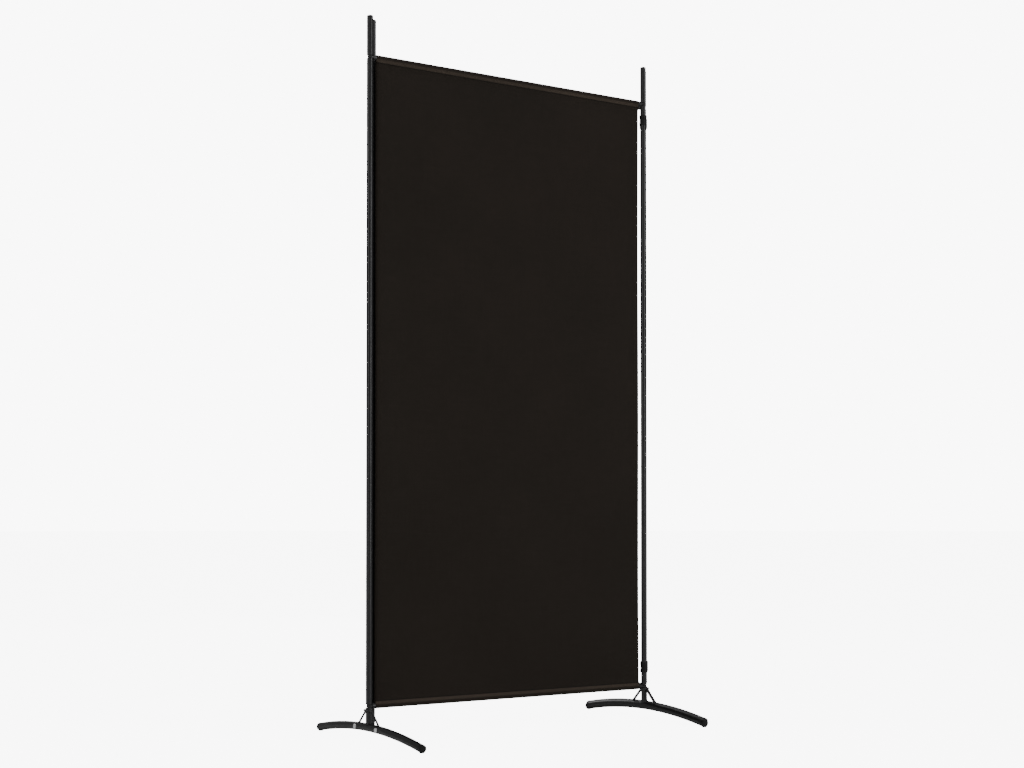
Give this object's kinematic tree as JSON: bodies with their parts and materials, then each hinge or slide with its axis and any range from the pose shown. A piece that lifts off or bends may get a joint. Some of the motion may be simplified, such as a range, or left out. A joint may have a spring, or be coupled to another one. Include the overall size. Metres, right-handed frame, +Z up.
{
  "type": "folding room divider screen",
  "caption": "Free-standing folding privacy screen: fabric sheets sleeved on slim metal frames, arched feet, panels linked by clips.",
  "frame": {"origin": "on the floor, at the middle of the box in X and Y", "axes": "+X along the front panel to the right, +Y to the back, +Z up"},
  "size_m": [0.9186, 0.5484, 1.8],
  "materials": {
    "powder_black": "black powder coat, satin",
    "plastic_black": "moulded, fine grain",
    "fabric_brown": "matt plain-weave polyester, brown-black",
    "bolt_bright": "bright plated"
  },
  "bodies": {
    "front_panel": {"front_bottom_rail": "powder_black", "front_bottom_stud_left": "powder_black", "front_bottom_stud_right": "powder_black", "front_extension_left": "powder_black", "front_extension_right": "powder_black", "front_fabric": "fabric_brown", "front_post_left": "powder_black", "front_post_right": "powder_black", "front_top_cap_left": "plastic_black", "front_top_cap_right": "plastic_black", "front_top_rail": "powder_black", "front_top_stud_left": "powder_black", "front_top_stud_right": "powder_black", "left_foot_arm_front": "powder_black", "left_foot_arm_rear": "powder_black", "left_foot_bolt_front": "bolt_bright", "left_foot_bolt_rear": "bolt_bright", "left_foot_brace": "powder_black", "left_foot_centre_tube": "powder_black", "left_foot_plug_front": "plastic_black", "left_foot_plug_rear": "plastic_black", "left_foot_socket": "powder_black", "right_foot_arm_front": "powder_black", "right_foot_arm_rear": "powder_black", "right_foot_bolt_front": "bolt_bright", "right_foot_bolt_rear": "bolt_bright", "right_foot_brace": "powder_black", "right_foot_centre_tube": "powder_black", "right_foot_plug_front": "plastic_black", "right_foot_plug_rear": "plastic_black", "right_foot_socket": "powder_black"},
    "clip_link": {"clip_bottom": "plastic_black", "clip_top": "plastic_black"},
    "rear_panel": {"rear_bottom_cap": "plastic_black", "rear_bottom_rail": "powder_black", "rear_bottom_stud_left": "powder_black", "rear_bottom_stud_right": "powder_black", "rear_extension_left": "powder_black", "rear_extension_right": "powder_black", "rear_fabric": "fabric_brown", "rear_lower_tube": "powder_black", "rear_post_left": "powder_black", "rear_post_right": "powder_black", "rear_top_cap_left": "plastic_black", "rear_top_cap_right": "plastic_black", "rear_top_rail": "powder_black", "rear_top_stud_left": "powder_black", "rear_top_stud_right": "powder_black"},
    "rear_foot": {"rear_foot_arm_front": "powder_black", "rear_foot_arm_rear": "powder_black", "rear_foot_bolt_front": "bolt_bright", "rear_foot_bolt_rear": "bolt_bright", "rear_foot_brace": "powder_black", "rear_foot_centre_tube": "powder_black", "rear_foot_plug_front": "plastic_black", "rear_foot_plug_rear": "plastic_black", "rear_foot_socket": "powder_black"}
  },
  "joints": [
    {"name": "clip_swing", "type": "hinge", "parent": "front_panel", "child": "clip_link", "pos_m": [0.4195, -0.0155, 0.9], "axis": [0, 0, -1], "range_deg": [0, 100]},
    {"name": "panel_fold", "type": "hinge", "parent": "clip_link", "child": "rear_panel", "pos_m": [0.4455, 0.0155, 0.9], "axis": [0, 0, -1], "range_deg": [0, 260]},
    {"name": "rear_foot_turn", "type": "hinge", "parent": "clip_link", "child": "rear_foot", "pos_m": [0.4455, 0.0155, 0.04], "axis": [0, 0, -1], "range_deg": [-100, 0]}
  ],
  "couplings": [
    {"joint": "rear_foot_turn", "follows": "clip_swing", "ratio": -1}
  ]
}
